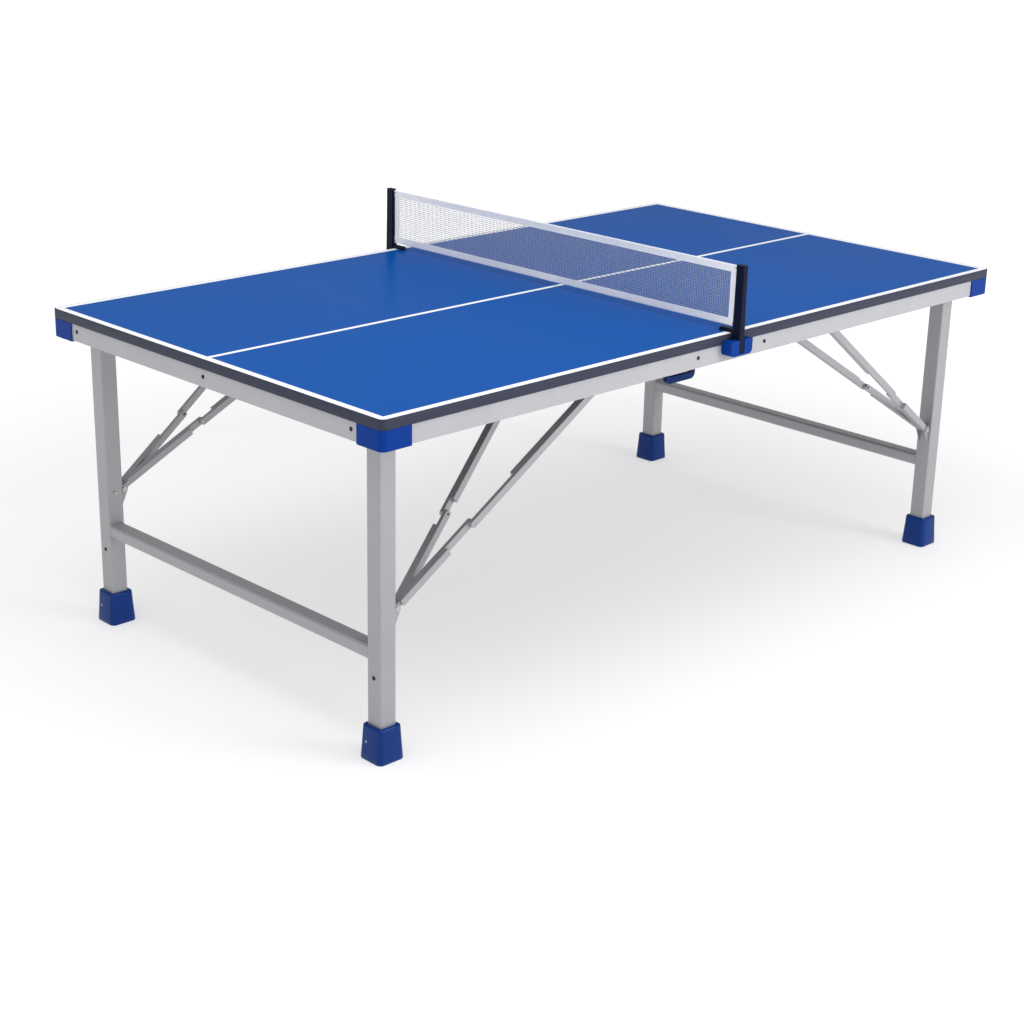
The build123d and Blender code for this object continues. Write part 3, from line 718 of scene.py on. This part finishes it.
class TABLE_OT_leg_frames(bpy.types.Operator):
    """Make the leg tubes, the tubes that join them and the welds between them"""
    bl_idname = "table.leg_frames"
    bl_label = "Leg Frames"

    def execute(self, context):
        settings = context.scene.table_frame
        coat = powder_coat("powder_coat_silver", settings.leg_colour, 0.42, 0.35)
        outer, inner = settings.leg_round, settings.leg_round / 2
        for corner in CORNERS:
            low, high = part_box("leg_" + corner)
            half = (high[0] - low[0]) / 2
            cx, cy = (low[0] + high[0]) / 2, (low[1] + high[1]) / 2
            bore = half - settings.leg_wall
            rings = up_a_leg(cx, cy, ((half, outer, low[2]), (half, outer, high[2]),
                                      (bore, inner, high[2]), (bore, inner, low[2])))
            even_shading(finished_piece("leg_tube_" + corner, lofted(rings, joined=True), coat,
                                        NODES["leg_" + corner]["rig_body"], ("leg_" + corner,)))
        for end in ENDS:
            low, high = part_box("stretcher_" + end)
            cx, cz = (low[0] + high[0]) / 2, (low[2] + high[2]) / 2
            half_x, half_z = (high[0] - low[0]) / 2, (high[2] - low[2]) / 2
            outline = rounded_rectangle(half_x, half_z, 8 * MM, 7)
            rings = [[(cx + x, y, cz + z) for x, z in outline] for y in (low[1], high[1])]
            even_shading(finished_piece("stretcher_tube_" + end, lofted(rings), coat, "leg_frame_" + end,
                                        ("stretcher_" + end,)))
            eased("top_tube_" + end, 1.0 * MM, coat)
            self.weld(end, outline, cx, cz, (low[1], high[1]), coat, settings.weld_bead)
        return {"FINISHED"}

    def weld(self, end, outline, cx, cz, ends, coat, width):
        """Overlapping ripples of weld metal round both ends of a stretcher."""
        spots = []
        for y in ends:
            for i, (x, z) in enumerate(outline):
                x2, z2 = outline[(i + 1) % len(outline)]
                run = math.hypot(x2 - x, z2 - z)
                if run < 1e-6:
                    continue
                steps = max(1, round(run / (0.55 * width)))
                for k in range(steps):
                    t = k / steps
                    px, pz = x + (x2 - x) * t, z + (z2 - z) * t
                    facing = ((z2 - z) / run, 0, -(x2 - x) / run)
                    along = ((x2 - x) / run, 0, (z2 - z) / run)
                    spots.append(((cx + px, y - math.copysign(0.3 * width, y), cz + pz), facing, along))
        steps = ((0.62, 0), (0.52, 0.16), (0.28, 0.27))
        ripple = turned_profile([(r * width, h * width) for r, h in steps], 8)
        set_fixings("weld_bead_" + end, ripple, spots, coat, "leg_frame_" + end, slot="leg_tube")


class TABLE_OT_boots(bpy.types.Operator):
    """Make the moulded boots on the legs"""
    bl_idname = "table.boots"
    bl_label = "Boots"

    def execute(self, context):
        settings = context.scene.table_moulding
        vinyl = moulded("moulded_vinyl_blue", settings.boot_colour, 0.2, 1.4, 0.02, 0.3)
        steel = zinc_plate()
        taper, screw_z, off_middle, sunk = 5.5 * MM, 42 * MM, 13 * MM, 0.9 * MM
        for corner in CORNERS:
            low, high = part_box("boot_" + corner)
            leg_low, leg_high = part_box("leg_" + corner)
            cx, cy = (low[0] + high[0]) / 2, (low[1] + high[1]) / 2
            base, tall = (high[0] - low[0]) / 2, high[2]
            neck, leg = base - taper, (leg_high[0] - leg_low[0]) / 2
            rim = settings.boot_rim

            def side(z):
                return base + (neck - base) * z / tall

            # From the sole up, over the rim and down inside beside the leg.
            steps = [(base - 3.2 * MM, 10 * MM, 0.0), (base - 1.2 * MM, 12 * MM, 0.9 * MM),
                     (base - 0.1 * MM, 13 * MM, 3.4 * MM), (side(0.25 * tall), 12.4 * MM, 0.25 * tall),
                     (side(0.6 * tall), 11 * MM, 0.6 * tall)]
            lip = side(tall - rim)
            for x, z in arc(lip - rim, tall - rim, rim, 0, 90, 4):
                steps.append((x, max(9 * MM - (lip - x), 4 * MM), z))
            steps += [(leg + 0.7 * MM, 4.6 * MM, tall - 0.1 * MM),
                      (leg + 0.15 * MM, 4.1 * MM, tall - 1.2 * MM),
                      (leg + 0.15 * MM, 4.1 * MM, tall - 14 * MM)]
            finished_piece("boot_shell_" + corner, lofted(up_a_leg(cx, cy, steps)), vinyl,
                           NODES["boot_" + corner]["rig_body"], ("boot_" + corner,), smooth=60)
        for end, sx in ENDS.items():
            spots = []
            for sy in SIDES.values():
                low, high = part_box("boot_front_" + end)
                face = (high[0] - low[0]) / 2 - taper * screw_z / high[2]
                x = (low[0] + high[0]) / 2 + sx * (face - sunk)
                y = sy * abs(low[1] + high[1]) / 2 + off_middle
                spots.append(((x, y, screw_z), Vector((sx, 0, 0.07)).normalized(), (0, 1, 0)))
            set_fixings("boot_screws_" + end, pan_head(3.2 * MM, 1.4 * MM), spots, steel,
                        "leg_frame_" + end)
        return {"FINISHED"}


class TABLE_OT_braces(bpy.types.Operator):
    """Make the folding braces with their brackets and pins"""
    bl_idname = "table.braces"
    bl_label = "Folding Braces"

    def execute(self, context):
        settings = context.scene.table_frame
        coat = powder_coat("powder_coat_brace_silver", settings.brace_colour, 0.4, 0.4)
        for corner in CORNERS:
            eased("brace_fork_" + corner, 1.1 * MM, coat)
            eased("brace_arms_" + corner, 1.1 * MM, coat)
        steel = bpy.data.materials["zinc_plated_steel"]
        for end in ENDS:
            eased("brace_brackets_" + end, 0.5 * MM, coat)
            eased("brace_pins_" + end, 0.7 * MM, steel)
            eased("knee_pins_" + end, 0.6 * MM, steel)
        eased("arm_hinge_pins", 0.6 * MM, steel)
        eased("leg_hinge_pins", 0.8 * MM, steel)
        return {"FINISHED"}


class TABLE_OT_fixings(bpy.types.Operator):
    """Set the screws of the apron and the screws and bolts of the legs"""
    bl_idname = "table.fixings"
    bl_label = "Screws and Bolts"

    def execute(self, context):
        settings = context.scene.table_fixings
        steel = bpy.data.materials["zinc_plated_steel"]
        black = blackened_steel()
        low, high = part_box("frame_screws")
        height = settings.screw_height
        z = (low[2] + high[2]) / 2
        seam_x, end_y = 115 * MM, 480 * MM
        spots = []
        for sx in ENDS.values():
            for sy in SIDES.values():
                face = high[1] - height
                spots.append(((sx * seam_x, sy * face, z), (0, sy, 0), (0.4, 0, 0.9)))
            for y in (-end_y, 0.0, end_y):
                spots.append(((sx * (high[0] - height), y, z), (sx, 0, 0), (0, 0.8, 0.6)))
        head = pan_head(settings.screw_radius, height)
        set_fixings("apron_screws", head, spots, black, "table_top", ("frame_screws",))
        pivot = next(j["pos_m"][2] for j in frame["joints"] if j["name"] == "brace_fork_turn_left")
        for end, sx in ENDS.items():
            screws, bolts = [], []
            for side, sy in SIDES.items():
                low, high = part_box("leg_" + side + "_" + end)
                cx, cy = (low[0] + high[0]) / 2, (low[1] + high[1]) / 2
                half = (high[0] - low[0]) / 2
                screws.append(((cx + sx * half, cy, settings.leg_screw_z), (sx, 0, 0),
                               (0, 1, 0.3)))
                bolts.append(((cx, cy - sy * half, pivot), (0, -sy, 0), (1, 0, 0)))
            body = "leg_frame_" + end
            set_fixings("leg_screws_" + end, pan_head(4.6 * MM, 1.6 * MM), screws, black, body)
            set_fixings("leg_bolts_" + end, dome_nut(6.5 * MM, 5 * MM), bolts, steel, body)
        return {"FINISHED"}


class TABLE_OT_net_posts(bpy.types.Operator):
    """Make the net posts, the sockets that hold them and the hooks of the net"""
    bl_idname = "table.net_posts"
    bl_label = "Net Posts"

    def execute(self, context):
        settings = context.scene.table_moulding
        nylon = moulded("moulded_nylon_navy", settings.post_colour, 0.42, 0.9, 0.03)
        plastic = bpy.data.materials["moulded_abs_blue"]
        # The sockets' screws are painted to match the moulding.
        screw_x, screw_z, sunk = 24 * MM, 721 * MM, 1.2 * MM
        screws = []
        for side, sy in SIDES.items():
            eased("post_socket_" + side, 1.4 * MM, plastic, segments=3)
            eased("net_post_" + side, 1.1 * MM, nylon, segments=3)
            low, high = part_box("post_socket_" + side)
            face = max(abs(low[1]), abs(high[1]))
            for x in (-screw_x, screw_x):
                screws.append(((x, sy * (face - sunk), screw_z), (0, sy, 0), (1, 0, 0.5)))
        set_fixings("socket_screws", pan_head(3.6 * MM, 1.0 * MM), screws, plastic, "table_top",
                    slot="blue_plastic")
        self.hooks(nylon)
        return {"FINISHED"}

    def hooks(self, nylon):
        """A bent wire hook at each corner of the net, from the post through the tape's end."""
        low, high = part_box("net_hooks")
        wire_r = 0.8
        made = bmesh.new()
        for sy in SIDES.values():
            for z in (low[2] + 1.5 * MM, high[2] - 1.5 * MM):
                path = [(3.2, 3.0), (3.2, -3.5), (2.0, -5.6), (0.0, -6.4), (-2.0, -5.6), (-3.2, -3.5),
                        (-3.2, 3.0)]
                rings = []
                for i, (x, y) in enumerate(path):
                    x0, y0 = path[max(i - 1, 0)]
                    x1, y1 = path[min(i + 1, len(path) - 1)]
                    run = math.hypot(x1 - x0, y1 - y0)
                    nx, ny = -(y1 - y0) / run, (x1 - x0) / run
                    ring = []
                    for k in range(8):
                        t = math.pi * k / 4
                        side, up = wire_r * math.cos(t), wire_r * math.sin(t)
                        ring.append(((x + nx * side) * MM, sy * (high[1] + (y + ny * side) * MM),
                                     z + up * MM))
                    rings.append(ring)
                wire = mesh_of("wire", lofted(rings))
                made.from_mesh(wire)
                bpy.data.meshes.remove(wire)
        finished_piece("net_wire_hooks", made, nylon, "net_set", ("net_hooks",), smooth=60)


def sway(along):
    """How far a tape's free edge wanders from straight at a place along it."""
    return 0.25 * MM * math.sin(along * 23.0) + 0.12 * MM * math.sin(along * 61.0 + 1.0)


class TABLE_OT_net(bpy.types.Operator):
    """Knot the netting, fold the tapes over its edges and sew them"""
    bl_idname = "table.net"
    bl_label = "Net and Tapes"

    def execute(self, context):
        settings = context.scene.table_net
        low, high = spread("net_binding", "net_top_tape")
        inner_low, inner_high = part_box("net_mesh")
        tuck = 6 * MM
        size = (inner_high[1] - inner_low[1] + 2 * tuck, inner_high[2] - inner_low[2] + 2 * tuck)
        centre = (0.0, 0.0, (inner_low[2] + inner_high[2]) / 2)
        start = bpy.data.meshes.new("netting_start")
        start.from_pydata([(0, 0, centre[2])], [], [])
        twine = net_twine(settings)
        mesh = run_tree("netting", start, netting_tree(), {
            "Length": size[0], "Height": size[1], "Centre": centre, "Pitch": settings.pitch,
            "Twine": settings.twine, "Unevenness": 0.25 * MM, "Seed": 7, "Finish": twine})
        netting = placed("netting", mesh, twine, "net_set", ("net_mesh",), smooth=60)

        cloth = woven_tape(settings)
        tape = inner_low[2] - low[2]
        half_y = high[1]
        along, upright = (-half_y, half_y), (low[2] + 2 * MM, high[2] - 2 * MM)
        top = self.tape("net_head_tape", cloth, settings, tape, 0.6 * MM, along, "y", high[2], -1)
        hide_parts("net_top_tape")
        bottom = self.tape("net_foot_tape", cloth, settings, tape, 0.25 * MM, along, "y", low[2], 1)
        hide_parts("net_binding")
        for side, sy in SIDES.items():
            self.tape("net_side_tape_" + side, cloth, settings, tape, 0.0, upright, "z",
                                   sy * half_y, -sy)
        self.stitches(cloth, settings, low, high, half_y, tape)

        # A net is mostly holes: the cloth in it is the twine's own surface, three quarters
        # of the rectangle that it fills.
        return {"FINISHED"}

    def tape(self, name, cloth, settings, wide, bulge, run, axis, fold, inward):
        """A strip folded over one edge of the net. fold is where its fold lies, and
        inward the way from there to its free edges."""
        gap = NET_HALF + settings.tape_wall if axis == "y" else 0.5 * MM + 0.5 * settings.tape_wall
        outer, inner = [], []
        for u in (1.0, 0.8, 0.6, 0.42, 0.28, 0.18):
            half = gap + bulge * (1 - u) ** 2
            outer.append((u * wide, half))
            inner.append((u * wide, half - settings.tape_wall))
        nose = gap + bulge
        for t in (60, 35, 12):
            a = math.radians(t)
            u = 0.1 * wide * (1 - math.cos(a))
            outer.append((u, nose * math.sin(a)))
            inner.append((settings.tape_wall + u, (nose - settings.tape_wall) * math.sin(a)))
        loop = outer + [(u, -w) for u, w in outer[::-1]] + [(u, -w) for u, w in inner] + inner[::-1]
        count = max(8, round((run[1] - run[0]) / (0.5 * settings.stitch)))
        rings = []
        for i in range(count + 1):
            s = run[0] + (run[1] - run[0]) * i / count
            pucker = 0.07 * MM * (1 if i % 2 else -1)
            drift = sway(s)
            ring = []
            for u, w in loop:
                free = u / wide
                x = w + math.copysign(pucker * free, w) + drift * free
                across = fold + inward * u
                ring.append((x, s, across) if axis == "y" else (x, across, s))
            rings.append(ring)
        return finished_piece(name, lofted(rings), cloth, "net_set", slot="net_tape", smooth=70)

    def stitches(self, cloth, settings, low, high, half_y, tape):
        """Two rows of thread on both faces of the head and foot tapes, close to their free edges."""
        spots = []
        face = NET_HALF + settings.tape_wall
        step = settings.stitch
        for row in (tape - 2.2 * MM, tape - 5.0 * MM):
            for z in (high[2] - row, low[2] + row):
                for i in range(int(2 * (half_y - 4 * MM) / step)):
                    y = -half_y + 4 * MM + i * step
                    for sx in (-1, 1):
                        spots.append(((sx * (face + 0.1 * MM) + sway(y) * row / tape, y, z),
                                      (sx, 0, 0), (0, 1, 0)))
        turns = [math.pi * k / 3 for k in range(6)]
        thread = lofted([[(x * MM, r * MM * math.cos(t), r * MM * math.sin(t)) for t in turns]
                         for x, r in ((-1.4, 0.088), (-1.0, 0.22), (1.0, 0.22), (1.4, 0.088))])
        set_fixings("tape_stitches", thread, spots, cloth, "net_set", slot="net_tape")


class TABLE_OT_handle(bpy.types.Operator):
    """Make the carrying handle and the plate that holds it"""
    bl_idname = "table.handle"
    bl_label = "Carrying Handle"

    def execute(self, context):
        settings = context.scene.table_moulding
        plastic = moulded("moulded_polypropylene_navy", settings.handle_colour, 0.4, 1.0, 0.04)
        eased("carry_handle", 2.2 * MM, plastic, segments=3)
        eased("handle_mount", 0.5 * MM, bpy.data.materials["galvanised_steel"])
        return {"FINISHED"}


class TABLE_OT_studio(bpy.types.Operator):
    """Set up the camera, a plain pale floor and soft light"""
    bl_idname = "table.studio"
    bl_label = "Studio"

    def execute(self, context):
        scene = context.scene
        settings = scene.table_studio
        scene.view_settings.view_transform = "Standard"

        # The floor glows though it is no lamp: painted light, weaker near the table so that the table's
        # shadow stays, and brighter away from the table.
        made, tree, shader, place = start_finish("matt_studio_paper", {
            "Roughness": 0.9, "Specular IOR Level": 0.0})
        base, _ = mottled(tree, place, settings.floor_colour, 2.0, 0.004)
        feed(tree, shader, {"Base Color": base})
        away = add(tree, "ShaderNodeVectorMath", {0: place}, operation="LENGTH").outputs["Value"]
        glow = add(tree, "ShaderNodeMapRange", {
            "Value": away, "From Min": 1.6, "From Max": 4.0, "To Min": settings.near_painted_glow,
            "To Max": settings.far_painted_glow})
        feed(tree, shader, {"Emission Color": (1, 1, 1, 1), "Emission Strength": glow})
        mesh = bpy.data.meshes.new("studio_floor")
        reach = 40.0
        ways = ((-1, -1), (1, -1), (1, 1), (-1, 1))
        mesh.from_pydata([(reach * x, reach * y, 0) for x, y in ways], [], [(0, 1, 2, 3)])
        mesh.materials.append(made)
        in_scene("studio_floor", mesh)

        world = bpy.data.worlds.new("white_surround")
        world.use_nodes = True
        back = world.node_tree.nodes["Background"]
        # The surround itself shows white, and lights the table at its own strength.
        seen = add(world.node_tree, "ShaderNodeLightPath").outputs["Is Camera Ray"]
        strength = add(world.node_tree, "ShaderNodeMath", {0: seen, 1: 1.0 - settings.sky, 2: settings.sky},
                       operation="MULTIPLY_ADD")
        feed(world.node_tree, back, {"Color": (1, 1, 1, 1), "Strength": strength})
        scene.world = world

        self.lamp("overhead_softbox", settings.softbox, 3.2, Vector((-1.0, -0.7, 3.3)), Vector((0, 0, 0.7)))
        self.lamp("side_softbox", settings.side_light, 2.2, Vector((1.6, -4.6, 2.2)), Vector((0, 0, 0.5)))

        forward = Vector((math.cos(settings.pitch) * math.sin(settings.yaw),
                          math.cos(settings.pitch) * math.cos(settings.yaw), -math.sin(settings.pitch)))
        level = Vector((math.cos(settings.yaw), -math.sin(settings.yaw), 0))
        up = level.cross(forward)
        right = math.cos(settings.roll) * level + math.sin(settings.roll) * up
        over = math.cos(settings.roll) * up - math.sin(settings.roll) * level
        camera = in_scene("camera", bpy.data.cameras.new("camera"))
        camera.data.lens = settings.lens
        camera.data.sensor_width = 36.0
        camera.data.clip_end = 200.0
        turn = Matrix((right, over, -forward)).transposed().to_4x4()
        camera.matrix_world = Matrix.Translation(Vector(settings.eye)) @ turn
        scene.camera = camera
        return {"FINISHED"}

    def lamp(self, name, power, size, place, target):
        """A square softbox that looks at the table."""
        data = bpy.data.lights.new(name, "AREA")
        data.energy = power
        data.size = size
        lamp = in_scene(name, data)
        lamp.location = place
        lamp.rotation_euler = (target - place).to_track_quat("-Z", "Y").to_euler()


class TABLE_PT_panel(bpy.types.Panel):
    bl_label = "Table Tennis Table"
    bl_idname = "TABLE_PT_panel"
    bl_space_type = "VIEW_3D"
    bl_region_type = "UI"
    bl_category = "Table Tennis"

    def draw(self, context):
        layout = self.layout
        for attribute in SETTINGS:
            box = layout.box()
            group = getattr(context.scene, attribute)
            for name in group.bl_rna.properties.keys():
                if name not in ("rna_type", "name"):
                    box.prop(group, name)
        for operator in OPERATORS:
            layout.operator(operator.bl_idname)


SETTINGS = {"table_top": TopSettings, "table_frame": FrameSettings, "table_moulding": MouldingSettings,
            "table_net": NetSettings, "table_fixings": FixingSettings, "table_studio": StudioSettings}
OPERATORS = (TABLE_OT_boards, TABLE_OT_apron, TABLE_OT_corner_caps, TABLE_OT_leg_frames, TABLE_OT_boots,
             TABLE_OT_braces, TABLE_OT_fixings, TABLE_OT_net_posts, TABLE_OT_net, TABLE_OT_handle,
             TABLE_OT_studio)


def register():
    for made in (*SETTINGS.values(), *OPERATORS, TABLE_PT_panel):
        bpy.utils.register_class(made)
    for attribute, group in SETTINGS.items():
        setattr(bpy.types.Scene, attribute, bpy.props.PointerProperty(type=group))


def unregister():
    for attribute in SETTINGS:
        delattr(bpy.types.Scene, attribute)
    for made in (TABLE_PT_panel, *OPERATORS[::-1], *list(SETTINGS.values())[::-1]):
        bpy.utils.unregister_class(made)


def main():
    register()
    for operator in OPERATORS:
        area, name = operator.bl_idname.split(".")
        getattr(getattr(bpy.ops, area), name)()


if __name__ == "__main__":
    main()
